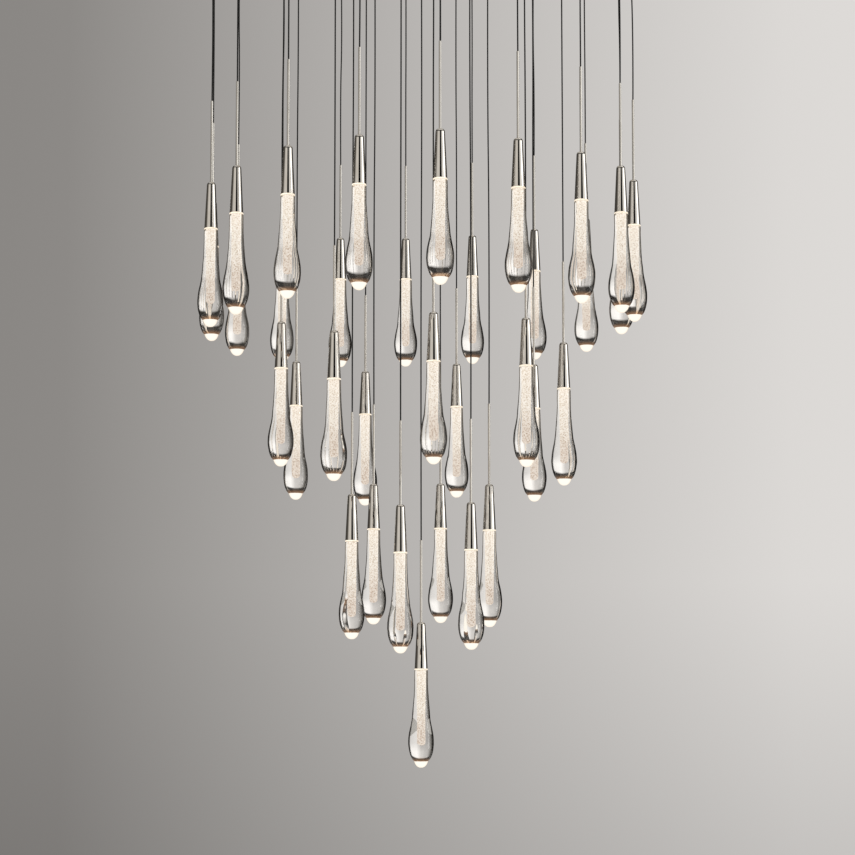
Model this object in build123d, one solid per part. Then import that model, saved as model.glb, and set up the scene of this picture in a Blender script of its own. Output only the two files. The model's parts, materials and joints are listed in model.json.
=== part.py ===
"""Crystal chandelier: 34 lit glass drops on cords of different lengths, below a round ceiling canopy.

Millimetres, +Z up. The origin is the centre of the mounting plate's upper face, where it bears on
the ceiling, so everything hangs at negative Z. -Y is the front.
"""
from build123d import *
from math import cos, radians, sin, sqrt, tan
import os

# ---- canopy: a plated pan held up by studs under a plate that is bolted to the ceiling ----
canopy_diameter = 1220
canopy_depth = 60            # ceiling to the pan's underside
canopy_sheet = 2
canopy_edge_radius = 9       # rolled lower edge of the pan
ceiling_gap = 1              # the pan's rim stops this far below the ceiling
plate_thickness = 4
plate_rim_gap = 4            # between the plate's edge and the pan's wall
ceiling_bolt_inset = 200     # canopy's edge to the ceiling bolts
ceiling_bolt_count = 8
ceiling_bolt_hole = 9
relief_hole_inset = 340      # canopy's edge to the centres of the plate's weight-saving holes
relief_hole_count = 4
relief_hole_diameter = 160
supply_hole_diameter = 32

# ---- studs, spacers and cap nuts that carry the pan ----
stud_inset = 130             # canopy's edge to the studs
stud_count = 8
stud_diameter = 8
stud_clearance = 0.3         # radial, in the pan's holes and in the spacers
spacer_wall = 3
cap_nut_flats = 13           # across the flats
cap_nut_hex_height = 6.5
cap_nut_dome_height = 5
stud_grip_length = 8         # stud length inside each cap nut

# ---- cord grips in the pan ----
grip_diameter = 14
grip_height = 14             # below the pan
grip_edge = 1.5              # chamfer on the grip's lower edge
grip_shank_diameter = 10
grip_shank_clearance = 0.1   # radial, in the pan's hole
grip_nut_flats = 14
grip_nut_height = 4
grip_shank_spare = 4         # shank that stands above its nut
grip_mouth_depth = 10        # wide part of the bore, where the cord can swing
grip_mouth_clearance = 0.6   # between the swung cord and the mouth
cord_clearance = 0.1         # radial, in the grip's throat

# ---- one hanging drop ----
cord_diameter = 3.8
stem_diameter = 6.4
stem_wall = 1.1
stem_length = 220            # what shows above the cap
cap_height = 124
cap_top_diameter = 22.5
cap_base_diameter = 35
cap_land = 0.55              # flat left round the stem by the cap's rounded shoulder
cap_wall = 2
cap_top_wall = 5
gasket_thickness = 3.5
gasket_diameter = 36.5
glass_length = 259.5
neck_diameter = 36
neck_height = 235            # where the straight neck ends, above the tip
waist_diameter = 48.6
waist_height = 132           # where the neck runs into the bulb
bulb_diameter = 69
bulb_height = 68             # its widest place
tip_diameter = 38            # the round point under the bulb
tip_height = 18
spigot_diameter = 26         # top of the glass, inside the cap
spigot_length = 10
core_top_diameter = 17       # column of fine bubbles, which tapers downwards
core_base_diameter = 15
core_base_height = 60        # its rounded lower end, above the tip

# ---- light source inside the cap ----
lens_height = 7
lens_diameter = 21
lens_gap = 0.5               # between the glass and the lens
led_board_thickness = 1.6
led_board_diameter = 22
heat_sink_height = 48
heat_sink_clearance = 0.1    # radial, in the cap's taper
stem_thread_length = 16      # stem inside the cap
stem_nut_flats = 10
stem_nut_height = 4
grub_screw_diameter = 3
grub_screw_count = 3
grub_screw_height = 5        # above the cap's lower rim

# ---- electrical gear on the plate's underside ----
driver_length = 180
driver_width = 46
driver_height = 30
driver_inset = 325           # canopy's edge to the drivers' centres
driver_count = 4
driver_foot_length = 14
driver_foot_thickness = 2
driver_screw_diameter = 4
driver_screw_head = 8
output_block_size = (56, 16, 14)
output_block_inset = 380     # canopy's edge to the blocks' centres
supply_block_size = (44, 26, 20)
supply_block_offset = 62     # from the plate's centre
terminal_hole_diameter = 5
terminal_ways = 3
earth_screw_diameter = 5
earth_screw_offset = 62
earth_screw_length = 14
grommet_bore = 16
grommet_flange = 3           # flange width and thickness

# ---- where the drops hang: tips' depth below the ceiling, with each cord's own trim ----
drop_inset = 35              # canopy's edge to the outer ring of cords
outer_circle = canopy_diameter / 2 - drop_inset
tiers = {
    "outer": {
        "count": 18, "circle_radius": outer_circle, "first_angle": 4.8, "tip_depth": 1215,
        "swing": 6,
        "trims": [-20, -10, -5, -10, -20, -20, 0, 0, 0, 5, 15, 20, 25, 15, 10, 10, -5, -10],
    },
    "middle": {
        "count": 9, "circle_radius": 0.668 * outer_circle, "first_angle": 4.8, "tip_depth": 1635,
        "swing": 5,
        "trims": [-20, -25, 0, 20, -5, 20, 20, -45, 15],
    },
    "inner": {
        "count": 6, "circle_radius": 0.33 * outer_circle, "first_angle": 43.7, "tip_depth": 2030,
        "swing": 3,
        "trims": [45, -20, -35, -30, 15, 55],
    },
    "centre": {
        "count": 1, "circle_radius": 0, "first_angle": 0, "tip_depth": 2385, "swing": 4,
        "trims": [0],
    },
}

# ---- levels that several pieces share ----
pan_floor = -canopy_depth + canopy_sheet
grip_base = -canopy_depth - grip_height
pivot_level = grip_base + grip_mouth_depth
plate_radius = canopy_diameter / 2 - canopy_sheet - plate_rim_gap
throat_radius = cord_diameter / 2 + cord_clearance
widest_swing = max(tier["swing"] for tier in tiers.values())


def turned(outline):
    """Solid of revolution about Z, from its (radius, height) corners."""
    return revolve(Plane.XZ * make_face(Polyline(*outline, close=True)), axis=Axis.Z)


def hexagon_bar(flats, height):
    """Hexagonal prism standing on Z = 0, sized across its flats."""
    return extrude(RegularPolygon(flats / 2, 6, major_radius=False), height)


def hole(diameter, depth):
    """Round cutter standing on Z = 0."""
    return Cylinder(diameter / 2, depth, align=(Align.CENTER, Align.CENTER, Align.MIN))


def polar_point(radius, angle):
    """Point on a circle, with the angle in degrees from the front, -Y, towards +X."""
    return radius * sin(radians(angle)), -radius * cos(radians(angle))


def hanging_points(tier):
    """(x, y, tip depth) of each drop of a tier."""
    points = []
    for number in range(tier["count"]):
        angle = tier["first_angle"] + number * 360 / tier["count"]
        trim = tier["trims"][number % len(tier["trims"])]
        points.append((*polar_point(tier["circle_radius"], angle), tier["tip_depth"] + trim))
    return points


def ring_of(piece, inset, count, first_angle=0.0):
    """Copies of a piece on a circle that far in from the canopy's edge, each turned to face outwards."""
    radius = canopy_diameter / 2 - inset
    step = 360 / count
    return [Rot(0, 0, first_angle + i * step) * Pos(radius, 0, 0) * piece for i in range(count)]


# ---- canopy ----
def mounting_plate():
    """Steel plate with its ceiling bolt holes, cable entry and weight-saving holes."""
    plate = Pos(0, 0, -plate_thickness) * hole(2 * plate_radius, plate_thickness)
    cutters = ring_of(hole(ceiling_bolt_hole, plate_thickness), ceiling_bolt_inset, ceiling_bolt_count)
    cutters += ring_of(hole(relief_hole_diameter, plate_thickness), relief_hole_inset, relief_hole_count)
    cutters.append(hole(supply_hole_diameter, plate_thickness))
    return plate - [Pos(0, 0, -plate_thickness) * cutter for cutter in cutters]


def canopy_pan():
    """Pressed pan: flat floor, rolled edge and upright wall, drilled for the grips and studs."""
    outside, inside = canopy_diameter / 2, canopy_diameter / 2 - canopy_sheet
    roll = canopy_edge_radius * (1 - sqrt(0.5))
    inner_radius = max(canopy_edge_radius - canopy_sheet, 0.5)
    inner_roll = inner_radius * (1 - sqrt(0.5))
    section = make_face([
        Line((0, -canopy_depth), (outside - canopy_edge_radius, -canopy_depth)),
        ThreePointArc((outside - canopy_edge_radius, -canopy_depth),
                      (outside - roll, -canopy_depth + roll),
                      (outside, -canopy_depth + canopy_edge_radius)),
        Polyline((outside, -canopy_depth + canopy_edge_radius), (outside, -ceiling_gap),
                 (inside, -ceiling_gap), (inside, pan_floor + inner_radius)),
        ThreePointArc((inside, pan_floor + inner_radius),
                      (inside - inner_roll, pan_floor + inner_roll),
                      (inside - inner_radius, pan_floor)),
        Polyline((inside - inner_radius, pan_floor), (0, pan_floor), (0, -canopy_depth)),
    ])
    pan = revolve(Plane.XZ * section, axis=Axis.Z)
    stud_cutter = hole(stud_diameter + 2 * stud_clearance, canopy_sheet)
    grip_cutter = hole(grip_shank_diameter + 2 * grip_shank_clearance, canopy_sheet)
    cutters = ring_of(stud_cutter, stud_inset, stud_count, 180 / stud_count)
    for tier in tiers.values():
        cutters += [Pos(x, y, 0) * grip_cutter for x, y, _ in hanging_points(tier)]
    return pan - [Pos(0, 0, -canopy_depth) * cutter for cutter in cutters]


def on_stud_circle(piece):
    """A stud's own piece, repeated at every stud."""
    return Compound(children=ring_of(piece, stud_inset, stud_count, 180 / stud_count))


def hanger_studs():
    """Studs welded under the plate, which reach through the pan into the cap nuts."""
    length = canopy_depth - plate_thickness + stud_grip_length
    return on_stud_circle(Pos(0, 0, -plate_thickness - length) * hole(stud_diameter, length))


def spacer_tubes():
    """Tubes on the studs that set the pan's distance below the plate."""
    bore = stud_diameter + 2 * stud_clearance
    length = -plate_thickness - pan_floor
    tube = hole(bore + 2 * spacer_wall, length) - hole(bore, length)
    return on_stud_circle(Pos(0, 0, pan_floor) * tube)


def cap_nuts():
    """Domed hexagon nuts under the pan, with the studs' ends inside."""
    rim = cap_nut_flats / 2 - 0.5
    dome_radius = (rim ** 2 + cap_nut_dome_height ** 2) / (2 * cap_nut_dome_height)
    lowest = -cap_nut_hex_height - cap_nut_dome_height
    ball = Pos(0, 0, lowest + dome_radius) * Sphere(dome_radius)
    nut = Pos(0, 0, -cap_nut_hex_height) * hexagon_bar(cap_nut_flats, cap_nut_hex_height)
    nut += split(ball, Plane.XY.offset(-cap_nut_hex_height), keep=Keep.BOTTOM)
    nut -= Pos(0, 0, -stud_grip_length) * hole(stud_diameter, stud_grip_length)
    return on_stud_circle(Pos(0, 0, -canopy_depth) * nut)


# ---- cord grips ----
def cord_grip():
    """Threaded grip on its own axis, with a narrow throat above and a wide mouth below."""
    body, shank = grip_diameter / 2, grip_shank_diameter / 2
    top = pan_floor + grip_nut_height + grip_shank_spare
    swung_cord = cord_diameter / 2 / cos(radians(widest_swing))
    mouth = swung_cord + grip_mouth_depth * tan(radians(widest_swing)) + grip_mouth_clearance
    return turned([
        (throat_radius, top), (shank, top), (shank, -canopy_depth), (body, -canopy_depth),
        (body, grip_base + grip_edge), (body - grip_edge, grip_base), (mouth, grip_base),
        (mouth, pivot_level), (throat_radius, pivot_level),
    ])


def grip_nut():
    """Hexagon nut that clamps one grip from inside the pan."""
    bore = grip_shank_diameter + 2 * grip_shank_clearance
    nut = hexagon_bar(grip_nut_flats, grip_nut_height) - hole(bore, grip_nut_height)
    return Pos(0, 0, pan_floor) * nut


def at_every_drop(piece, names):
    """One copy of a piece above each drop of the named tiers."""
    return Compound(children=[
        Pos(x, y, 0) * piece for name in names for x, y, _ in hanging_points(tiers[name])
    ])


# ---- electrical gear ----
def led_drivers():
    """Flat driver cases with a foot at each end, screwed under the plate."""
    case = Box(driver_width, driver_length, driver_height, align=(Align.CENTER, Align.CENTER, Align.MAX))
    case = fillet(case.edges().filter_by(Axis.Z), 2)
    full_length = driver_length + 2 * driver_foot_length
    feet = Box(driver_width, full_length, driver_foot_thickness,
               align=(Align.CENTER, Align.CENTER, Align.MAX))
    screw_offset = (driver_length + driver_foot_length) / 2
    holes = [Pos(0, side * screw_offset, -driver_foot_thickness)
             * hole(driver_screw_diameter, driver_foot_thickness) for side in (-1, 1)]
    driver = Pos(0, 0, -plate_thickness) * (case + feet - holes)
    return Compound(children=ring_of(driver, driver_inset, driver_count, 180 / driver_count))


def driver_screws():
    """Pan-head screws through the drivers' feet, up against the plate."""
    head = 2.5
    screw = turned([
        (0, 0), (driver_screw_diameter / 2, 0), (driver_screw_diameter / 2, -driver_foot_thickness),
        (driver_screw_head / 2, -driver_foot_thickness),
        (driver_screw_head / 2 - 1, -driver_foot_thickness - head), (0, -driver_foot_thickness - head),
    ])
    offset = (driver_length + driver_foot_length) / 2
    pair = [Pos(0, side * offset, -plate_thickness) * screw for side in (-1, 1)]
    return Compound(children=[
        placed for one in pair for placed in ring_of(one, driver_inset, driver_count, 180 / driver_count)
    ])


def terminal_block(size):
    """Terminal strip hanging from Z = 0, with a row of wire holes along its length."""
    length, width, height = size
    block = Box(length, width, height, align=(Align.CENTER, Align.CENTER, Align.MAX))
    pitch = length / terminal_ways
    for way in range(terminal_ways):
        x = (way - (terminal_ways - 1) / 2) * pitch
        block -= Pos(x, 0, -height / 2) * Rot(90, 0, 0) * Cylinder(terminal_hole_diameter / 2, width)
    return Pos(0, 0, -plate_thickness) * block


def output_terminal_blocks():
    """Low-voltage strips, one beside each driver, where the cords' wires end."""
    block = Rot(0, 0, 90) * terminal_block(output_block_size)
    return Compound(children=ring_of(block, output_block_inset, driver_count, 180 / driver_count))


def supply_terminal_block():
    """Strip for the mains supply, beside the cable entry."""
    return Pos(supply_block_offset, 0, 0) * Rot(0, 0, 90) * terminal_block(supply_block_size)


def earth_screw():
    """Brass earthing screw under the plate."""
    thread, head, head_height = earth_screw_diameter / 2, earth_screw_diameter, 3
    lowest = -plate_thickness - earth_screw_length
    screw = turned([
        (0, -plate_thickness), (thread, -plate_thickness), (thread, lowest + head_height),
        (head, lowest + head_height), (head, lowest), (0, lowest),
    ])
    return Pos(-earth_screw_offset, 0, 0) * screw


def supply_grommet():
    """Rubber grommet in the plate's cable entry, flush with the ceiling side."""
    rim, bore = supply_hole_diameter / 2, grommet_bore / 2
    under = -plate_thickness - grommet_flange
    return turned([
        (bore, 0), (rim, 0), (rim, -plate_thickness), (rim + grommet_flange, -plate_thickness),
        (rim + grommet_flange, under), (bore, under),
    ])


# ---- one hanging drop, built with its tip at Z = 0 ----
gasket_base = glass_length
cap_base = gasket_base + gasket_thickness
cap_top = cap_base + cap_height
stem_top = cap_top + stem_length
cap_slope = (cap_base_diameter - cap_top_diameter) / 2 / cap_height
cap_shoulder = (cap_top_diameter - stem_diameter) / 2 - cap_land


def glass_drop(hollow):
    """Solid glass teardrop with a spigot on top, and a bore for the bubble column if hollow."""
    neck, waist, bulb, tip = neck_diameter / 2, waist_diameter / 2, bulb_diameter / 2, tip_diameter / 2
    spigot, spigot_top = spigot_diameter / 2, cap_base + spigot_length
    taper, swell, under = neck_height - waist_height, waist_height - bulb_height, bulb_height - tip_height
    section = make_face([
        Bezier((0, 0), (0.45 * tip, 0), (0.87 * tip, 0.36 * tip_height), (tip, tip_height)),
        Bezier((tip, tip_height), (tip + 0.6 * (bulb - tip), tip_height + 0.1 * under),
               (bulb, bulb_height - 0.45 * under), (bulb, bulb_height)),
        Bezier((bulb, bulb_height), (bulb, bulb_height + 0.4 * swell),
               (waist + 0.12 * (bulb - waist), waist_height - 0.25 * swell), (waist, waist_height)),
        Bezier((waist, waist_height), (waist - 0.4 * (waist - neck), waist_height + 0.3 * taper),
               (neck, neck_height - 0.35 * taper), (neck, neck_height)),
        Polyline((neck, neck_height), (neck, glass_length), (spigot, glass_length),
                 (spigot, spigot_top), (0, spigot_top), (0, 0)),
    ])
    glass = revolve(Plane.XZ * section, axis=Axis.Z)
    return glass - bubble_core() if hollow else glass


def bubble_core():
    """Column of bubbles cased in the glass, round at its lower end and flush with the spigot."""
    radius = core_base_diameter / 2
    top = cap_base + spigot_length
    section = make_face([
        Polyline((0, core_base_height), (0, top), (core_top_diameter / 2, top),
                 (radius, core_base_height + radius)),
        ThreePointArc((radius, core_base_height + radius),
                      (radius * sqrt(0.5), core_base_height + radius * (1 - sqrt(0.5))),
                      (0, core_base_height)),
    ])
    return revolve(Plane.XZ * section, axis=Axis.Z)


def cap_body(hollow):
    """Turned, plated cap: a taper with a rounded shoulder, and a socket for the spigot or, if
    hollow, the whole inside with the stem's and screws' holes."""
    base, top = cap_base_diameter / 2, cap_top_diameter / 2
    round_start = top + cap_shoulder * cap_slope
    section = make_face([
        Polyline((round_start, cap_top - cap_shoulder), (base, cap_base), (0, cap_base),
                 (0, cap_top), (top - cap_shoulder, cap_top)),
        ThreePointArc((top - cap_shoulder, cap_top),
                      (top - cap_shoulder * (1 - sqrt(0.5)), cap_top - cap_shoulder * (1 - sqrt(0.5))),
                      (round_start, cap_top - cap_shoulder)),
    ])
    cap = revolve(Plane.XZ * section, axis=Axis.Z)
    if not hollow:
        return cap - Pos(0, 0, cap_base) * hole(spigot_diameter, spigot_length)
    ceiling = cap_height - cap_top_wall
    inner_base = base - cap_wall
    inner_top = inner_base - ceiling * cap_slope
    cap -= Pos(0, 0, cap_base) * turned([(0, 0), (inner_base, 0), (inner_top, ceiling), (0, ceiling)])
    cap -= Pos(0, 0, cap_base) * hole(stem_diameter, cap_height)
    screw_hole = Rot(0, 90, 0) * Pos(0, 0, spigot_diameter / 2) * hole(grub_screw_diameter, base)
    return cap - [Pos(0, 0, cap_base + grub_screw_height) * turn * screw_hole for turn in screw_turns()]


def screw_turns():
    """Directions of the screws round the cap, the first at the back."""
    return [Rot(0, 0, 90 + i * 360 / grub_screw_count) for i in range(grub_screw_count)]


def inside_pieces(cord_top):
    """What the cap holds, and the pieces that pass through it, by name."""
    spigot_top = cap_base + spigot_length
    lens_base = spigot_top + lens_gap
    board_base = lens_base + lens_height
    sink_base = board_base + led_board_thickness
    sink_top = sink_base + heat_sink_height
    bore = stem_diameter - 2 * stem_wall
    stem_base = cap_top - stem_thread_length
    nut_base = cap_top - cap_top_wall - stem_nut_height

    def sink_radius(level):
        inside = cap_base_diameter / 2 - cap_wall - heat_sink_clearance
        return inside - (level - cap_base) * cap_slope

    stem_blank = Pos(0, 0, stem_base) * hole(stem_diameter, stem_top - stem_base)
    nut = hexagon_bar(stem_nut_flats, stem_nut_height) - hole(stem_diameter, stem_nut_height)
    lens_edge = 2
    screw_length = cap_base_diameter / 2 - grub_screw_height * cap_slope - spigot_diameter / 2
    grub = Rot(0, 90, 0) * Pos(0, 0, spigot_diameter / 2) * hole(grub_screw_diameter, screw_length - 0.3)
    gasket = hole(gasket_diameter, gasket_thickness) - hole(spigot_diameter, gasket_thickness)
    return {
        "cord": Pos(0, 0, sink_top) * hole(cord_diameter, cord_top - sink_top),
        "stem": stem_blank - Pos(0, 0, stem_base) * hole(bore, stem_top - stem_base),
        "stem_nut": Pos(0, 0, nut_base) * nut,
        "heat_sink": turned([
            (0, sink_base), (sink_radius(sink_base), sink_base), (sink_radius(sink_top), sink_top),
            (0, sink_top),
        ]),
        "led_board": Pos(0, 0, board_base) * hole(led_board_diameter, led_board_thickness),
        "lens": turned([
            (0, lens_base), (lens_diameter / 2 - lens_edge, lens_base),
            (lens_diameter / 2, board_base), (0, board_base),
        ]),
        "gasket": Pos(0, 0, gasket_base) * gasket,
        "grub_screws": Compound(children=[
            Pos(0, 0, cap_base + grub_screw_height) * turn * grub for turn in screw_turns()
        ]),
    }


def plain_drop(cord_top):
    """One drop as the solids that show: cord, stem, cap, gasket and glass."""
    return [
        Pos(0, 0, stem_top) * hole(cord_diameter, cord_top - stem_top),
        Pos(0, 0, cap_top) * hole(stem_diameter, stem_length),
        cap_body(hollow=False),
        Pos(0, 0, gasket_base) * (hole(gasket_diameter, gasket_thickness)
                                  - hole(spigot_diameter, gasket_thickness)),
        glass_drop(hollow=False),
    ]


# ---- write one file for each node ----
os.makedirs("parts", exist_ok=True)
nodes = {
    "mounting_plate": mounting_plate(),
    "canopy_pan": canopy_pan(),
    "hanger_studs": hanger_studs(),
    "spacer_tubes": spacer_tubes(),
    "cap_nuts": cap_nuts(),
    "outer_cord_grips": at_every_drop(cord_grip(), ["outer"]),
    "middle_cord_grips": at_every_drop(cord_grip(), ["middle"]),
    "inner_cord_grips": at_every_drop(cord_grip(), ["inner", "centre"]),
    "grip_nuts": at_every_drop(grip_nut(), tiers),
    "led_drivers": led_drivers(),
    "driver_screws": driver_screws(),
    "output_terminal_blocks": output_terminal_blocks(),
    "supply_terminal_block": supply_terminal_block(),
    "earth_screw": earth_screw(),
    "supply_grommet": supply_grommet(),
}
for tier_name in ("outer", "middle", "inner"):
    for number, (x, y, depth) in enumerate(hanging_points(tiers[tier_name]), start=1):
        solids = [Pos(x, y, -depth) * piece for piece in plain_drop(pivot_level + depth)]
        nodes[f"{tier_name}_drop_{number:02d}"] = Compound(children=solids)

(x, y, depth), = hanging_points(tiers["centre"])
centre_pieces = {
    "glass_drop": glass_drop(hollow=True),
    "bubble_core": bubble_core(),
    "cap": cap_body(hollow=True),
    **inside_pieces(pivot_level + depth),
}
for piece_name, piece in centre_pieces.items():
    nodes[f"centre_{piece_name}"] = Pos(x, y, -depth) * piece

for node_name, shape in nodes.items():
    export_step(shape, f"parts/{node_name}.step")
print(len(nodes), "nodes")
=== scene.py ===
import json
import math
import random

import bpy
from mathutils import Matrix, Vector

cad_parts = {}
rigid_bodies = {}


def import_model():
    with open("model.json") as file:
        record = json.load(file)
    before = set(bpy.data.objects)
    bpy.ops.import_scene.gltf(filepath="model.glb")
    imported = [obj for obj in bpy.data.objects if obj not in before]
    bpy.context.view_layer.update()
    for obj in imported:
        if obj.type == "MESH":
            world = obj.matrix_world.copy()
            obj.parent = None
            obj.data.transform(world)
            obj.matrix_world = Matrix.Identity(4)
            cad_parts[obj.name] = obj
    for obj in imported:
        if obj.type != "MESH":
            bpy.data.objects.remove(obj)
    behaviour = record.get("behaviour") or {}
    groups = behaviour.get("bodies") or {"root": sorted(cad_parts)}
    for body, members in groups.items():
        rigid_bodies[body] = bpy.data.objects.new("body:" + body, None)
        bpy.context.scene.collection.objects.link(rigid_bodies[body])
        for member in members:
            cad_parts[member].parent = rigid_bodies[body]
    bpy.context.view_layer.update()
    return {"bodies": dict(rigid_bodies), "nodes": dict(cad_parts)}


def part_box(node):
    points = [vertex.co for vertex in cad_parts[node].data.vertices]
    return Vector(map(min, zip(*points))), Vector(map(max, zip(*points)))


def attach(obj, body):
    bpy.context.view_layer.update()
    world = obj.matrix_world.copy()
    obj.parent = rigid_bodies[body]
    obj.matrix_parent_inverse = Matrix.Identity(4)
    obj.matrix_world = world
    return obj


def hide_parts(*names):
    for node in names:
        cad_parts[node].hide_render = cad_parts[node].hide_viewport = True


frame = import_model()
MM = 0.001


# ---- Camera ----
# It stands 5.65 m in front of the chandelier's middle, level with the neck of its lowest drop, and
# looks up a little, so that the upper rings are seen from below. The small shift keeps the hanging
# cords nearly parallel.
camera_place = (0.017, -5.645, -2.175)
camera_pitch = 4.76          # degrees above the horizontal
camera_lens = 88.8           # mm, on a sensor 36 mm wide
camera_shift = 0.1           # share of the frame

bpy.ops.object.camera_add(location=camera_place, rotation=(math.radians(90 + camera_pitch), 0, 0))
camera = bpy.context.object
camera.data.sensor_width = 36
camera.data.lens = camera_lens
camera.data.shift_y = camera_shift
bpy.context.scene.camera = camera


# ---- Cords ----
# Each drop hangs on a black jacketed lamp cord 3.8 mm thick. The throat of its grip holds it under
# the canopy, the glass pulls it almost straight, and it runs down into the top of the nickel stem.
cord_diameter = 3.8 * MM
cord_in_stem = 6 * MM        # how far the cord reaches into the stem
cord_bend = random.Random(7)     # each cord keeps a slight bend of its own from its reel
upper_bow = 3 * MM           # the most that the bend moves the cord sideways at each of its two bows
lower_bow = -2 * MM
bow_depths = {               # below the grip's throat, where the cords of each ring bow
    "outer": (165 * MM, 355 * MM),
    "middle": (290 * MM, 630 * MM),
    "inner": (410 * MM, 895 * MM),
    "centre": (515 * MM, 1120 * MM),
}
stem_top = 607 * MM          # all heights on a drop are above the lowest point of its glass
jacket_black = "#0a0a09"
jacket_dust = "#161514"
dust_size = 9 * MM
ripple_scale = 22 * MM       # gives ripples about 14 mm long


def linear(hex_colour):
    """Linear red, green, blue and alpha of an sRGB hex colour."""
    parts = [int(hex_colour[i:i + 2], 16) / 255 for i in (1, 3, 5)]
    return [p / 12.92 if p <= 0.04045 else ((p + 0.055) / 1.055) ** 2.4 for p in parts] + [1.0]


def add_node(tree, kind, settings=None, inputs=None, stops=()):
    """Adds a node with its settings, its input values or links, and the stops of its colour ramp."""
    node = tree.nodes.new(kind)
    for name, value in (settings or {}).items():
        setattr(node, name, value)
    for name, value in (inputs or {}).items():
        if isinstance(value, bpy.types.NodeSocket):
            tree.links.new(value, node.inputs[name])
        else:
            node.inputs[name].default_value = value
    for number, (place, colour) in enumerate(stops):
        ramp = node.color_ramp.elements
        stop = ramp[number] if number < 2 else ramp.new(place)
        stop.position = place
        stop.color = linear(colour)
    return node


def new_finish(name):
    """A material with its tree and its Principled shader, for a finish of that name."""
    finish = bpy.data.materials.new(name)
    finish.use_nodes = True
    return finish, finish.node_tree, finish.node_tree.nodes["Principled BSDF"]


def join(tree, output, node, name):
    """Links an output to the input of that name on a node."""
    tree.links.new(output, node.inputs[name])


def hung_drops():
    """(body, node of its glass, x, y, height of the lowest point, height of the pivot) for each drop."""
    found = []
    for body in frame["bodies"]:
        if body == "canopy":
            continue
        tier, _, number = body.partition("_")
        glass = f"{tier}_drop_{number}" if number else "centre_glass_drop"
        held = glass if number else "centre_cord"
        low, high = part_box(glass)
        found.append((body, glass, (low.x + high.x) / 2, (low.y + high.y) / 2, low.z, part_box(held)[1].z))
    return found


drops = hung_drops()

# Extruded PVC jacket: satin black, with faint dust and the slow ripple of the two cores inside.
cord_jacket, tree, shader = new_finish("black_pvc_jacket")
place = add_node(tree, "ShaderNodeTexCoord")
dust = add_node(tree, "ShaderNodeTexNoise",
                inputs={"Vector": place.outputs["Object"], "Scale": 1 / dust_size, "Detail": 4.0})
tone = add_node(tree, "ShaderNodeValToRGB", inputs={"Fac": dust.outputs["Fac"]},
                stops=[(0.45, jacket_black), (0.80, jacket_dust)])
ripple = add_node(tree, "ShaderNodeTexWave", settings={"bands_direction": "DIAGONAL"},
                  inputs={"Vector": place.outputs["Object"], "Scale": 1 / ripple_scale, "Distortion": 1.5})
relief = add_node(tree, "ShaderNodeBump",
                  inputs={"Height": ripple.outputs["Fac"], "Distance": 0.2 * MM, "Strength": 0.4})
join(tree, tone.outputs["Color"], shader, "Base Color")
join(tree, relief.outputs["Normal"], shader, "Normal")
shader.inputs["Roughness"].default_value = 0.5
shader.inputs["Specular IOR Level"].default_value = 0.35

for body, glass_node, x, y, tip, pivot in drops:
    lower_end = tip + stem_top - cord_in_stem
    bpy.ops.object.select_all(action="DESELECT")
    line = bpy.data.curves.new(f"{body}_lamp_cord", "CURVE")
    line.dimensions = "3D"
    run = line.splines.new("NURBS")
    run.points.add(3)
    across, away = cord_bend.uniform(-1, 1), cord_bend.uniform(-1, 1)
    high, low = bow_depths[body.partition("_")[0]]
    run.points[0].co = (x, y, pivot, 1)
    run.points[1].co = (x + upper_bow * across, y + upper_bow * away, pivot - high, 1)
    run.points[2].co = (x + lower_bow * across, y + lower_bow * away, pivot - low, 1)
    run.points[3].co = (x, y, lower_end, 1)
    run.order_u = 3
    run.use_endpoint_u = True
    line.bevel_depth = cord_diameter / 2
    line.bevel_resolution = 4
    line.use_fill_caps = True
    cord = bpy.data.objects.new(f"{body}_lamp_cord", line)
    bpy.context.scene.collection.objects.link(cord)
    line.materials.append(cord_jacket)
    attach(cord, body)
    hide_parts(glass_node if body != "centre" else "centre_cord")


# ---- Stems ----
# A polished nickel tube, 6.4 mm by 220 mm, screwed into the top of each cap. Its upper end is open
# and deburred, and the cord drops straight into it.
stem_radius = 3.2            # mm, as all sizes in an outline are
stem_bore_radius = 2.1
stem_foot = 387.0            # top face of the cap
stem_deburr = 0.3
stem_bore_depth = 8.0        # only its mouth is modelled, because the cord fills it
sides_of_tube = 24

_, _, pattern_x, pattern_y, pattern_tip, _ = next(d for d in drops if d[0] == "centre")
pattern_place = Vector((pattern_x, pattern_y, pattern_tip))


def raise_rings(name, outline, sides):
    """A turned piece of the centre drop: a circle that is extruded and scaled from ring to ring
    along its (radius, height) outline in mm above the glass's lowest point, then closed."""
    bpy.ops.object.select_all(action="DESELECT")
    radius, height = outline[0]
    bpy.ops.mesh.primitive_circle_add(vertices=sides, radius=radius * MM,
                                      location=pattern_place + Vector((0, 0, height * MM)))
    piece = bpy.context.object
    piece.name = piece.data.name = name
    bpy.ops.object.transform_apply(location=True)
    bpy.ops.object.mode_set(mode="EDIT")
    bpy.ops.mesh.select_mode(type="VERT")
    bpy.ops.mesh.select_all(action="SELECT")
    bpy.ops.mesh.edge_face_add()
    bpy.ops.mesh.select_all(action="SELECT")
    for next_radius, next_height in outline[1:]:
        bpy.ops.mesh.extrude_region_move(
            TRANSFORM_OT_translate={"value": (0, 0, (next_height - height) * MM)})
        centre = pattern_place + Vector((0, 0, next_height * MM))
        bpy.ops.transform.resize(value=(next_radius / radius, next_radius / radius, 1),
                                 center_override=centre)
        radius, height = next_radius, next_height
    bpy.ops.mesh.select_all(action="SELECT")
    bpy.ops.mesh.normals_make_consistent(inside=False)
    bpy.ops.object.mode_set(mode="OBJECT")
    bpy.ops.object.shade_smooth()
    return piece


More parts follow.
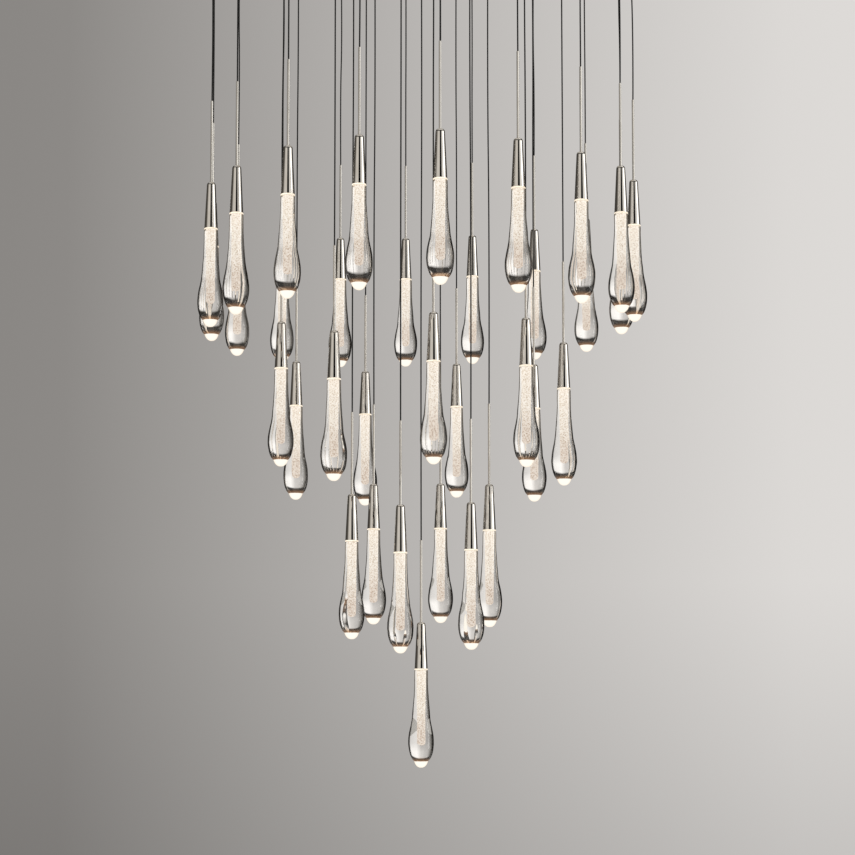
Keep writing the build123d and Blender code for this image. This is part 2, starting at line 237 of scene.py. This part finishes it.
def note_rise(pattern):
    """Keeps each vertex's height above the glass's lowest point, as a share of 300 mm, for materials."""
    rise = pattern.data.attributes.new("rise", "FLOAT", "POINT")
    for vertex, stored in zip(pattern.data.vertices, rise.data):
        stored.value = (vertex.co.z - pattern_place.z) / (300 * MM)


def copy_to_drops(pattern, part):
    """The centre drop's piece and a copy of it for every other drop, each with its own mesh."""
    made = []
    for body, glass_node, x, y, tip, _ in drops:
        piece = pattern
        if body != "centre":
            piece = pattern.copy()
            piece.data = pattern.data.copy()
            bpy.context.scene.collection.objects.link(piece)
            piece.data.transform(Matrix.Translation(Vector((x, y, tip)) - pattern_place))
        piece.name = piece.data.name = f"{body}_{part}"
        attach(piece, body)
        made.append((piece, body, glass_node))
    return made


def apply_modifier(piece, kind, **settings):
    """Adds a modifier to a piece and applies it."""
    bpy.ops.object.select_all(action="DESELECT")
    piece.select_set(True)
    bpy.context.view_layer.objects.active = piece
    modifier = piece.modifiers.new(kind.lower(), kind)
    for name, value in settings.items():
        setattr(modifier, name, value)
    bpy.ops.object.modifier_apply(modifier=modifier.name)


# Bright nickel plate, buffed to a mirror: warm white metal with a faint haze of handling and
# ripples left by the buffing wheel, almost too fine to see.
nickel_light = "#f6f2ec"
nickel_haze = "#e9e4dc"
haze_size = 40 * MM
buffing_size = 12 * MM
nickel, tree, shader = new_finish("polished_nickel_plate")
place = add_node(tree, "ShaderNodeTexCoord")
haze = add_node(tree, "ShaderNodeTexNoise",
                inputs={"Vector": place.outputs["Object"], "Scale": 1 / haze_size, "Detail": 3.0})
tone = add_node(tree, "ShaderNodeValToRGB", inputs={"Fac": haze.outputs["Fac"]},
                stops=[(0.35, nickel_light), (0.75, nickel_haze)])
smear = add_node(tree, "ShaderNodeMapRange",
                 inputs={"Value": haze.outputs["Fac"], "To Min": 0.03, "To Max": 0.07})
buffing = add_node(tree, "ShaderNodeTexNoise",
                   inputs={"Vector": place.outputs["Object"], "Scale": 1 / buffing_size})
relief = add_node(tree, "ShaderNodeBump",
                  inputs={"Height": buffing.outputs["Fac"], "Distance": 0.05 * MM, "Strength": 0.04})
join(tree, tone.outputs["Color"], shader, "Base Color")
join(tree, smear.outputs["Result"], shader, "Roughness")
join(tree, relief.outputs["Normal"], shader, "Normal")
shader.inputs["Metallic"].default_value = 1.0

stem_head = stem_top / MM
stem_pattern = raise_rings("centre_stem", [
    (stem_radius, stem_foot), (stem_radius, stem_head - stem_deburr),
    (stem_radius - stem_deburr, stem_head), (stem_bore_radius + stem_deburr, stem_head),
    (stem_bore_radius, stem_head - stem_deburr), (stem_bore_radius, stem_head - stem_bore_depth),
], sides_of_tube)
bpy.ops.object.shade_smooth_by_angle(angle=math.radians(30))
stem_pattern.data.materials.append(nickel)
for stem, body, glass_node in copy_to_drops(stem_pattern, "nickel_stem"):
    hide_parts(glass_node if body != "centre" else "centre_stem")


# ---- Caps ----
# A cap turned from solid bar and nickel plated, 124 mm tall, tapers from the glass up to the stem.
# Its upper end is rounded over to the stem, which screws into its top.
cap_foot = 263.0
cap_top = stem_foot
cap_foot_radius = 17.5
cap_top_radius = 11.25
cap_shoulder = 7.5
cap_edge = 0.4
cap_socket_radius = 13.0                    # holds the glass's spigot
cap_rings = (1, 6, 30, 60, 90, 111, 115)    # heights of the taper's rings above its foot
shoulder_turns = (0, 18, 36, 54, 72, 90)    # degrees round the shoulder
sides_of_cap = 32

taper = (cap_foot_radius - cap_top_radius) / (cap_top - cap_foot)
shoulder_start = cap_top - cap_shoulder
outline = [(cap_socket_radius, cap_foot), (cap_foot_radius - cap_edge, cap_foot),
           (cap_foot_radius - 0.3 * cap_edge, cap_foot + 0.3 * cap_edge)]
outline += [(cap_foot_radius - taper * rise, cap_foot + rise) for rise in cap_rings]
for turn in shoulder_turns:
    angle = math.radians(turn)
    radius = cap_top_radius + taper * cap_shoulder - cap_shoulder * (1 - math.cos(angle))
    outline.append((radius, shoulder_start + cap_shoulder * math.sin(angle)))
outline += [(stem_radius + 0.3 * cap_edge, cap_top), (stem_radius, cap_top - cap_edge)]
cap_pattern = raise_rings("centre_cap", outline, sides_of_cap)
apply_modifier(cap_pattern, "SUBSURF", levels=1, render_levels=1)
cap_pattern.data.materials.append(nickel)
for cap, body, glass_node in copy_to_drops(cap_pattern, "nickel_cap"):
    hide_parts(glass_node if body != "centre" else "centre_cap")


# ---- Collars ----
# A clear silicone gasket, moulded, between the cap and the glass. The light inside leaks through it,
# so that it shows as a thin bright line under the metal.
collar_foot = 259.5
collar_radius = 17.95
collar_round = 0.8
sides_of_collar = 48
silicone_dim = "#e0d0b8"
silicone_glow = "#f6ebda"
cloud_size = 5 * MM

collar_pattern = raise_rings("centre_gasket", [
    (cap_socket_radius, collar_foot), (collar_radius - collar_round, collar_foot),
    (collar_radius, collar_foot + collar_round), (collar_radius, cap_foot - collar_round),
    (collar_radius - collar_round, cap_foot), (cap_socket_radius, cap_foot),
], sides_of_collar)
silicone, tree, shader = new_finish("lit_clear_silicone")
place = add_node(tree, "ShaderNodeTexCoord")
cloud = add_node(tree, "ShaderNodeTexNoise",
                 inputs={"Vector": place.outputs["Object"], "Scale": 1 / cloud_size})
glow = add_node(tree, "ShaderNodeValToRGB", inputs={"Fac": cloud.outputs["Fac"]},
                stops=[(0.3, silicone_dim), (0.6, silicone_glow)])
join(tree, glow.outputs["Color"], shader, "Base Color")
join(tree, glow.outputs["Color"], shader, "Emission Color")
shader.inputs["Emission Strength"].default_value = 0.6
shader.inputs["Roughness"].default_value = 0.4
silicone.cycles.emission_sampling = "NONE"
collar_pattern.data.materials.append(silicone)
for collar, body, glass_node in copy_to_drops(collar_pattern, "collar"):
    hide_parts(glass_node if body != "centre" else "centre_gasket")


# ---- Glass drops ----
# A drop of clear crystal, gathered and pulled by hand: a straight neck that swells into a heavy bulb
# and ends in a small round point. Light piped down the column makes the point glow.
glass_top = collar_foot
lip_width = 0.6              # the neck slopes in by this much
lip_height = 2.0             # over this height below its top
neck_radius = 18.0
neck_height = 235.0          # where the straight neck ends
waist_radius = 24.3
waist_height = 132.0         # where the neck runs into the bulb
bulb_radius = 34.5
bulb_height = 68.0           # its widest place
point_radius = 19.0
point_height = 18.0
spigot_radius = cap_socket_radius
spigot_top = 273.0
striae_apart = 28 * MM
wobble_size = 55 * MM        # size of the waves in the hand-formed surface,
wobble_height = 2.0 * MM     # and the most that they measure from hollow to crest
sides_of_glass = 24
shrink = (2 + math.cos(2 * math.pi / sides_of_glass)) / 3    # a subdivided ring is this much smaller


def along(start, first, second, end, count):
    """Points on a smooth curve between two (radius, height) places, drawn with its two handles."""
    points = []
    for step in range(1, count + 1):
        t = step / count
        weights = ((1 - t) ** 3, 3 * t * (1 - t) ** 2, 3 * t * t * (1 - t), t ** 3)
        points.append(tuple(sum(w * p[i] for w, p in zip(weights, (start, first, second, end)))
                            for i in (0, 1)))
    return points


taper, swell, under = neck_height - waist_height, waist_height - bulb_height, bulb_height - point_height
point_end, bulb_end = (point_radius, point_height), (bulb_radius, bulb_height)
waist_end, neck_end = (waist_radius, waist_height), (neck_radius, neck_height)
outline = along((0, 0), (0.45 * point_radius, 0), (0.87 * point_radius, 0.36 * point_height), point_end, 6)
outline += along(point_end, (point_radius + 0.6 * (bulb_radius - point_radius), point_height + 0.1 * under),
                 (bulb_radius, bulb_height - 0.45 * under), bulb_end, 7)
outline += along(bulb_end, (bulb_radius, bulb_height + 0.4 * swell),
                 (waist_radius + 0.12 * (bulb_radius - waist_radius), waist_height - 0.25 * swell),
                 waist_end, 6)
outline += along(waist_end, (waist_radius - 0.4 * (waist_radius - neck_radius), waist_height + 0.3 * taper),
                 (neck_radius, neck_height - 0.35 * taper), neck_end, 5)
outline += [(neck_radius, glass_top - lip_height), (neck_radius - lip_width, glass_top),
            (spigot_radius, glass_top), (spigot_radius, spigot_top)]
outline = [(radius / shrink, height) for radius, height in outline]
glass_pattern = raise_rings("centre_glass_drop", outline, sides_of_glass)
apply_modifier(glass_pattern, "SUBSURF", levels=2, render_levels=2)

# Hand-gathered crystal, fire polished: colourless and very clear, with soft striae that waver what is
# behind. A painted near-black outline shades it where it is seen edge on, thinner on the neck than on
# the bulb. Just above the point, a painted amber band and a painted warm glow stand for the ring that
# internal reflection shows there, and a faint painted glow lights the top of the neck.
crystal, tree, shader = new_finish("fire_polished_crystal")
# Painted shade: this Layer Weight mask, made smaller on the neck, gives a near-black outline where the
# glass is seen edge on.
edge = add_node(tree, "ShaderNodeLayerWeight", inputs={"Blend": 0.5})
rise = add_node(tree, "ShaderNodeAttribute", settings={"attribute_name": "rise"})
thinner = add_node(tree, "ShaderNodeMapRange", inputs={
    "Value": rise.outputs["Fac"], "From Min": 0.30, "From Max": 0.55, "To Min": 0.0, "To Max": 0.09})
painted_outline_share = add_node(tree, "ShaderNodeMath", settings={"operation": "SUBTRACT"},
                         inputs={0: edge.outputs["Facing"], 1: thinner.outputs["Result"]})
painted_dark_outline = add_node(tree, "ShaderNodeValToRGB", inputs={"Fac": painted_outline_share.outputs[0]},
               stops=[(0.43, "#ffffff"), (0.55, "#080706")])
# Painted shade: an amber band just above the point, for the ring that internal reflection shows there.
painted_amber_band = add_node(tree, "ShaderNodeValToRGB", inputs={"Fac": rise.outputs["Fac"]},
                 stops=[(0.060, "#b98a62"), (0.076, "#cba684"), (0.100, "#fcfbf9")])
# Painted glow: warm light at that band, and faint light towards the top of the neck.
warm_glow = add_node(tree, "ShaderNodeValToRGB", inputs={"Fac": rise.outputs["Fac"]},
                     stops=[(0.060, "#7d5a3c"), (0.074, "#523a27"), (0.090, "#000000"),
                            (0.520, "#000000"), (0.700, "#2a2620"), (0.860, "#4a4339")])
tint = add_node(tree, "ShaderNodeMix", settings={"data_type": "RGBA", "blend_type": "MULTIPLY"},
                inputs={"Factor": 1.0})
tree.links.new(painted_amber_band.outputs["Color"], tint.inputs[6])
tree.links.new(painted_dark_outline.outputs["Color"], tint.inputs[7])
place = add_node(tree, "ShaderNodeTexCoord")
striae = add_node(tree, "ShaderNodeTexNoise",
                  inputs={"Vector": place.outputs["Object"], "Scale": 1 / striae_apart, "Detail": 1.0})
relief = add_node(tree, "ShaderNodeBump",
                  inputs={"Height": striae.outputs["Fac"], "Distance": 1.5 * MM, "Strength": 0.3})
tree.links.new(tint.outputs[2], shader.inputs["Base Color"])
join(tree, warm_glow.outputs["Color"], shader, "Emission Color")
shader.inputs["Emission Strength"].default_value = 1.0
crystal.cycles.emission_sampling = "NONE"
join(tree, relief.outputs["Normal"], shader, "Normal")
shader.inputs["Roughness"].default_value = 0.0
shader.inputs["IOR"].default_value = 1.52
shader.inputs["Transmission Weight"].default_value = 1.0

# The lit point: the same glass, filled with light from inside, whitest in the middle.
lit_point, tree, shader = new_finish("lit_crystal_point")
edge = add_node(tree, "ShaderNodeLayerWeight", inputs={"Blend": 0.3})
glow = add_node(tree, "ShaderNodeValToRGB", inputs={"Fac": edge.outputs["Facing"]},
                stops=[(0.2, "#fffaf0"), (0.9, "#eed9bb")])
join(tree, glow.outputs["Color"], shader, "Emission Color")
shader.inputs["Emission Strength"].default_value = 0.95
shader.inputs["Base Color"].default_value = linear("#6f6a62")
shader.inputs["Roughness"].default_value = 0.25
lit_point.cycles.emission_sampling = "NONE"

note_rise(glass_pattern)
glass_pattern.data.materials.append(crystal)
glass_pattern.data.materials.append(lit_point)
point_top = pattern_place.z + point_height * MM
for face in glass_pattern.data.polygons:
    if face.center.z < point_top:
        face.material_index = 1
hand_wobble = bpy.data.textures.new("hand_formed_glass", "CLOUDS")
hand_wobble.noise_scale = wobble_size
for glass, body, glass_node in copy_to_drops(glass_pattern, "glass"):
    apply_modifier(glass, "DISPLACE", texture=hand_wobble, texture_coords="LOCAL",
                   strength=wobble_height, mid_level=0.5)
    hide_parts(glass_node)


# ---- Bubble columns ----
# A rod of glass full of fine air bubbles is cased inside each drop. It is lit from above and glows
# warm white, speckled where the bubbles are larger, and it ends round in the middle of the bulb.
column_foot = 60.0
column_foot_radius = 7.5
column_top = spigot_top - 1
column_top_radius = 8.5
column_rings = 24
sides_of_column = 16
specks_apart = 3.2 * MM
pit_size = 4 * MM
pit_depth = 1.2 * MM

outline = [(0.3 * column_foot_radius, column_foot + 0.05 * column_foot_radius)]
for turn in (35, 55, 75, 90):
    angle = math.radians(turn)
    outline.append((column_foot_radius * math.sin(angle),
                    column_foot + column_foot_radius * (1 - math.cos(angle))))
length = column_top - (column_foot + column_foot_radius)
for ring in range(1, column_rings + 1):
    share = ring / column_rings
    outline.append((column_foot_radius + (column_top_radius - column_foot_radius) * share,
                    column_foot + column_foot_radius + length * share))
column_pattern = raise_rings("centre_bubble_core", outline, sides_of_column)
apply_modifier(column_pattern, "SUBSURF", levels=2, render_levels=2)

# Seeded glass, lit from above: cream, with beige specks about 3 mm apart, because finer ones would
# not show. Towards its lower end it is dimmer and the specks are brown.
seeded, tree, shader = new_finish("lit_seeded_glass")
place = add_node(tree, "ShaderNodeTexCoord")
rise = add_node(tree, "ShaderNodeAttribute", settings={"attribute_name": "rise"})
bubbles = add_node(tree, "ShaderNodeTexVoronoi",
                   inputs={"Vector": place.outputs["Object"], "Scale": 1 / specks_apart})
bright_specks = add_node(tree, "ShaderNodeValToRGB", inputs={"Fac": bubbles.outputs["Distance"]},
                         stops=[(0.12, "#b9a38c"), (0.36, "#eee2d2"), (0.75, "#fff8ee")])
brown_specks = add_node(tree, "ShaderNodeValToRGB", inputs={"Fac": bubbles.outputs["Distance"]},
                        stops=[(0.12, "#96745a"), (0.34, "#d9c8b8"), (0.75, "#efe4d8")])
upper = add_node(tree, "ShaderNodeMapRange",
                 inputs={"Value": rise.outputs["Fac"], "From Min": 0.30, "From Max": 0.52})
glow = add_node(tree, "ShaderNodeMix", settings={"data_type": "RGBA"},
                inputs={"Factor": upper.outputs["Result"]})
tree.links.new(brown_specks.outputs["Color"], glow.inputs[6])
tree.links.new(bright_specks.outputs["Color"], glow.inputs[7])
tree.links.new(glow.outputs[2], shader.inputs["Emission Color"])
shader.inputs["Emission Strength"].default_value = 0.95
shader.inputs["Base Color"].default_value = linear("#4a4239")
shader.inputs["Roughness"].default_value = 0.5
seeded.cycles.emission_sampling = "NONE"
column_pattern.data.materials.append(seeded)
note_rise(column_pattern)
pitted = bpy.data.textures.new("bubbled_surface", "CLOUDS")
pitted.noise_scale = pit_size
for column, body, glass_node in copy_to_drops(column_pattern, "bubble_column"):
    apply_modifier(column, "DISPLACE", texture=pitted, texture_coords="LOCAL",
                   strength=pit_depth, mid_level=0.5)
    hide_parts(glass_node if body != "centre" else "centre_bubble_core")


# ---- Canopy ----
# A pressed pan in nickel plate hangs on studs under a zinc-plated steel plate, with the LED drivers
# and terminal blocks between them. It is above the photograph's top edge.
def dress(finish, *names):
    """Gives CAD nodes a finish in place of their plain one."""
    for name in names:
        node = frame["nodes"][name]
        node.data.materials.clear()
        node.data.materials.append(finish)


dress(nickel, "canopy_pan", "cap_nuts", "outer_cord_grips", "middle_cord_grips", "inner_cord_grips")

# Clear zinc plate on rolled steel: cool grey, slightly blue, with large soft crystals. Its dull
# oxide bloom scatters about half of the light, so it is much less of a mirror than the nickel.
crystal_size = 14 * MM
zinc, tree, shader = new_finish("clear_zinc_plate")
place = add_node(tree, "ShaderNodeTexCoord")
crystals = add_node(tree, "ShaderNodeTexVoronoi",
                    inputs={"Vector": place.outputs["Object"], "Scale": 1 / crystal_size})
tone = add_node(tree, "ShaderNodeValToRGB", inputs={"Fac": crystals.outputs["Distance"]},
                stops=[(0.1, "#a9adb1"), (0.7, "#c3c6c8")])
join(tree, tone.outputs["Color"], shader, "Base Color")
shader.inputs["Metallic"].default_value = 0.5
shader.inputs["Roughness"].default_value = 0.55
dress(zinc, "mounting_plate", "hanger_studs", "spacer_tubes", "grip_nuts", "driver_screws",
      "centre_stem_nut", "centre_grub_screws")

# White polycarbonate, moulded with a fine spark-eroded grain.
grain_size = 0.8 * MM
case_white, tree, shader = new_finish("moulded_white_polycarbonate")
place = add_node(tree, "ShaderNodeTexCoord")
grain = add_node(tree, "ShaderNodeTexNoise",
                 inputs={"Vector": place.outputs["Object"], "Scale": 1 / grain_size})
tone = add_node(tree, "ShaderNodeValToRGB", inputs={"Fac": grain.outputs["Fac"]},
                stops=[(0.3, "#dcdbd6"), (0.7, "#e6e5e1")])
relief = add_node(tree, "ShaderNodeBump",
                  inputs={"Height": grain.outputs["Fac"], "Distance": 0.05 * MM, "Strength": 0.5})
join(tree, tone.outputs["Color"], shader, "Base Color")
join(tree, relief.outputs["Normal"], shader, "Normal")
shader.inputs["Roughness"].default_value = 0.45
dress(case_white, "led_drivers", "output_terminal_blocks", "supply_terminal_block")

# Turned brass: yellow, with fine tool rings.
brass_ring_scale = 3 * MM    # gives rings about 0.9 mm apart
brass, tree, shader = new_finish("turned_brass")
place = add_node(tree, "ShaderNodeTexCoord")
rings = add_node(tree, "ShaderNodeTexWave", settings={"bands_direction": "Z"},
                 inputs={"Vector": place.outputs["Object"], "Scale": 1 / brass_ring_scale})
tone = add_node(tree, "ShaderNodeValToRGB", inputs={"Fac": rings.outputs["Fac"]},
                stops=[(0.0, "#b9994f"), (1.0, "#cdb068")])
join(tree, tone.outputs["Color"], shader, "Base Color")
shader.inputs["Metallic"].default_value = 1.0
shader.inputs["Roughness"].default_value = 0.3
dress(brass, "earth_screw")

# Moulded rubber: black and matt, with a grey bloom.
bloom_size = 6 * MM
rubber, tree, shader = new_finish("moulded_black_rubber")
place = add_node(tree, "ShaderNodeTexCoord")
bloom = add_node(tree, "ShaderNodeTexNoise",
                 inputs={"Vector": place.outputs["Object"], "Scale": 1 / bloom_size})
tone = add_node(tree, "ShaderNodeValToRGB", inputs={"Fac": bloom.outputs["Fac"]},
                stops=[(0.4, "#161616"), (0.8, "#262626")])
join(tree, tone.outputs["Color"], shader, "Base Color")
shader.inputs["Roughness"].default_value = 0.75
dress(rubber, "supply_grommet")


# ---- Inside the centre cap ----
# The heat sink, LED board and lens fill the cap above the glass. They do not show, and their finishes
# are those of the real pieces: turned aluminium, a white-masked board, and clear acrylic.
sink_ring_scale = 4 * MM     # gives rings about 1.3 mm apart
chips_apart = 5 * MM
flow_size = 10 * MM          # faint marks of the acrylic's flow into its mould

aluminium, tree, shader = new_finish("turned_aluminium")
place = add_node(tree, "ShaderNodeTexCoord")
rings = add_node(tree, "ShaderNodeTexWave", settings={"bands_direction": "Z"},
                 inputs={"Vector": place.outputs["Object"], "Scale": 1 / sink_ring_scale})
tone = add_node(tree, "ShaderNodeValToRGB", inputs={"Fac": rings.outputs["Fac"]},
                stops=[(0.0, "#b8b9bb"), (1.0, "#cccdce")])
join(tree, tone.outputs["Color"], shader, "Base Color")
shader.inputs["Metallic"].default_value = 1.0
shader.inputs["Roughness"].default_value = 0.35
dress(aluminium, "centre_heat_sink")

board, tree, shader = new_finish("lit_led_board")
place = add_node(tree, "ShaderNodeTexCoord")
chips = add_node(tree, "ShaderNodeTexVoronoi",
                 inputs={"Vector": place.outputs["Object"], "Scale": 1 / chips_apart})
tone = add_node(tree, "ShaderNodeValToRGB", inputs={"Fac": chips.outputs["Distance"]},
                stops=[(0.2, "#ffe7a8"), (0.4, "#f2f0ea")])
join(tree, tone.outputs["Color"], shader, "Base Color")
join(tree, tone.outputs["Color"], shader, "Emission Color")
shader.inputs["Emission Strength"].default_value = 0.9
board.cycles.emission_sampling = "NONE"
dress(board, "centre_led_board")

acrylic, tree, shader = new_finish("clear_acrylic_lens")
place = add_node(tree, "ShaderNodeTexCoord")
flow = add_node(tree, "ShaderNodeTexNoise",
                inputs={"Vector": place.outputs["Object"], "Scale": 1 / flow_size})
tone = add_node(tree, "ShaderNodeValToRGB", inputs={"Fac": flow.outputs["Fac"]},
                stops=[(0.3, "#f4f4f2"), (0.7, "#fdfdfc")])
join(tree, tone.outputs["Color"], shader, "Base Color")
shader.inputs["Roughness"].default_value = 0.02
shader.inputs["IOR"].default_value = 1.49
shader.inputs["Transmission Weight"].default_value = 1.0
dress(acrylic, "centre_lens")


# ---- Floor, surroundings and lights ----
# A plain pale floor well below the lowest drop, and a grey backdrop with painted light and shade,
# lighter towards the camera's right and darker towards its left and below the horizon. Metal and glass
# see a room of the same greys, with soft white and dark upright panels all round. Its ceiling is dark,
# but in metal it is light straight overhead.
floor_height = -6.0          # metres, as all places in this section are
floor_size = 30.0
lamp_width = 3.0
lamps_aim = (0, 0, -1.2)
lamps = (("key_lamp", (-3.5, -4.5, 1.5), 160), ("fill_lamp", (4.5, -3.0, 0.5), 70))    # place, watts

bpy.ops.object.select_all(action="DESELECT")
bpy.ops.mesh.primitive_plane_add(size=floor_size, location=(0, 0, floor_height))
floor = bpy.context.object
floor.name = "floor"
paint, tree, shader = new_finish("pale_matt_floor")
shader.inputs["Base Color"].default_value = linear("#f0eeea")
shader.inputs["Roughness"].default_value = 0.9
floor.data.materials.append(paint)

world = bpy.data.worlds.new("grey_room")
bpy.context.scene.world = world
world.use_nodes = True
tree = world.node_tree
ray = add_node(tree, "ShaderNodeLightPath")
place = add_node(tree, "ShaderNodeTexCoord")
round_room = add_node(tree, "ShaderNodeTexGradient", settings={"gradient_type": "RADIAL"},
                      inputs={"Vector": place.outputs["Generated"]})
# Angles round the room are shares of a turn; 0.25 is the camera's side, -Y, and 0.5 is +X.
panels = add_node(tree, "ShaderNodeValToRGB", inputs={"Fac": round_room.outputs["Fac"]}, stops=[
    (0.000, "#4b4843"), (0.999, "#4b4843"), (0.04, "#6a6660"), (0.085, "#c3bfb9"), (0.15, "#cfcbc5"),
    (0.220, "#cbc7c0"), (0.230, "#060605"), (0.316, "#060605"), (0.328, "#dcdad6"), (0.395, "#dcdad6"),
    (0.42, "#f4f3f0"), (0.50, "#f4f3f0"), (0.54, "#a5a29e"), (0.58, "#2b2926"), (0.64, "#1a1917"),
    (0.70, "#1a1917"), (0.75, "#8f8c88"), (0.80, "#35322f"), (0.90, "#45423e"), (0.96, "#45423e"),
])
through_panels = add_node(tree, "ShaderNodeValToRGB", inputs={"Fac": round_room.outputs["Fac"]}, stops=[
    (0.000, "#a9a6a3"), (0.999, "#a9a6a3"), (0.50, "#c9c6c3"), (0.55, "#c9c6c3"), (0.575, "#3a3733"),
    (0.60, "#dedbd8"), (0.71, "#e6e3e0"), (0.75, "#b9b6b3"), (0.82, "#a5a29f"), (0.865, "#6a6763"),
    (0.885, "#3a3733"), (0.91, "#3a3733"), (0.94, "#a9a6a3"),
])
# Painted light and shade on the backdrop: lighter towards the camera's right, darker towards its left.
backdrop_painted_light = add_node(tree, "ShaderNodeValToRGB", inputs={"Fac": round_room.outputs["Fac"]}, stops=[
    (0.00, "#b9b6b3"), (1.0, "#b9b6b3"), (0.63, "#b9b6b3"), (0.70, "#e2dfdc"), (0.722, "#dcd9d6"),
    (0.75, "#b9b6b3"), (0.778, "#8b8885"), (0.80, "#878481"), (0.87, "#b9b6b3"),
])
# Heights are the upward part of a direction, from -1 straight down to 1 straight up.
height = add_node(tree, "ShaderNodeSeparateXYZ", inputs={"Vector": place.outputs["Generated"]})
upwards = add_node(tree, "ShaderNodeMapRange",
                   inputs={"Value": height.outputs["Z"], "From Min": 0.40, "From Max": 0.47})
dark_ceiling = add_node(tree, "ShaderNodeMix", settings={"data_type": "RGBA"},
                        inputs={"Factor": upwards.outputs["Result"]})
tree.links.new(panels.outputs["Color"], dark_ceiling.inputs[6])
ceiling = add_node(tree, "ShaderNodeValToRGB", inputs={"Fac": height.outputs["Z"]},
                   stops=[(0.68, "#3a3834"), (0.85, "#c9c6c2")])
tree.links.new(ceiling.outputs["Color"], dark_ceiling.inputs[7])
# In metal a narrow upright strip of the room is four times as bright, for a white line on the caps.
strip = add_node(tree, "ShaderNodeValToRGB", inputs={"Fac": round_room.outputs["Fac"]}, stops=[
    (0.440, "#000000"), (1.000, "#000000"), (0.448, "#ffffff"), (0.472, "#ffffff"), (0.480, "#000000")])
strip_strength = add_node(tree, "ShaderNodeMath", settings={"operation": "MULTIPLY_ADD"},
                          inputs={0: strip.outputs["Color"], 1: 3.0, 2: 1.0})
seen_in_metal = add_node(tree, "ShaderNodeBackground", inputs={"Color": dark_ceiling.outputs[2],
                                                               "Strength": strip_strength.outputs[0]})

grey_through_glass = add_node(tree, "ShaderNodeMix", settings={"data_type": "RGBA"},
                              inputs={"Factor": upwards.outputs["Result"]})
tree.links.new(through_panels.outputs["Color"], grey_through_glass.inputs[6])
grey_through_glass.inputs[7].default_value = linear("#22201e")
higher = add_node(tree, "ShaderNodeMapRange", inputs={
    "Value": height.outputs["Z"], "From Min": 0.0, "From Max": 0.2, "To Min": 1.0, "To Max": 1.4})
seen_in_glass = add_node(tree, "ShaderNodeBackground", inputs={"Color": grey_through_glass.outputs[2],
                                                               "Strength": higher.outputs["Result"]})
# Painted shade: the backdrop is darker below the horizon.
wall_light = add_node(tree, "ShaderNodeMapRange", inputs={
    "Value": height.outputs["Z"], "From Min": -0.10, "From Max": 0.05, "To Min": 0.74, "To Max": 1.0})
seen_by_camera = add_node(tree, "ShaderNodeBackground", inputs={"Color": backdrop_painted_light.outputs["Color"],
                                                                "Strength": wall_light.outputs["Result"]})
soft_light = add_node(tree, "ShaderNodeBackground", inputs={"Color": linear("#f4f2ef"), "Strength": 0.55})
glossy = add_node(tree, "ShaderNodeMixShader", inputs={
    0: ray.outputs["Is Glossy Ray"], 1: soft_light.outputs[0], 2: seen_in_metal.outputs[0]})
through = add_node(tree, "ShaderNodeMixShader", inputs={
    0: ray.outputs["Is Transmission Ray"], 1: glossy.outputs[0], 2: seen_in_glass.outputs[0]})
direct = add_node(tree, "ShaderNodeMixShader", inputs={
    0: ray.outputs["Is Camera Ray"], 1: through.outputs[0], 2: seen_by_camera.outputs[0]})
join(tree, direct.outputs[0], tree.nodes["World Output"], "Surface")

# Two large soft lamps, in front on the left and on the right, which show in neither metal nor glass.
for name, spot, power in lamps:
    bpy.ops.object.light_add(type="AREA", location=spot)
    lamp = bpy.context.object
    lamp.name = name
    lamp.data.size = lamp_width
    lamp.data.energy = power
    lamp.rotation_euler = (Vector(lamps_aim) - Vector(spot)).to_track_quat("-Z", "Y").to_euler()
    lamp.visible_glossy = False
    lamp.visible_transmission = False
bpy.context.scene.view_settings.view_transform = "Standard"
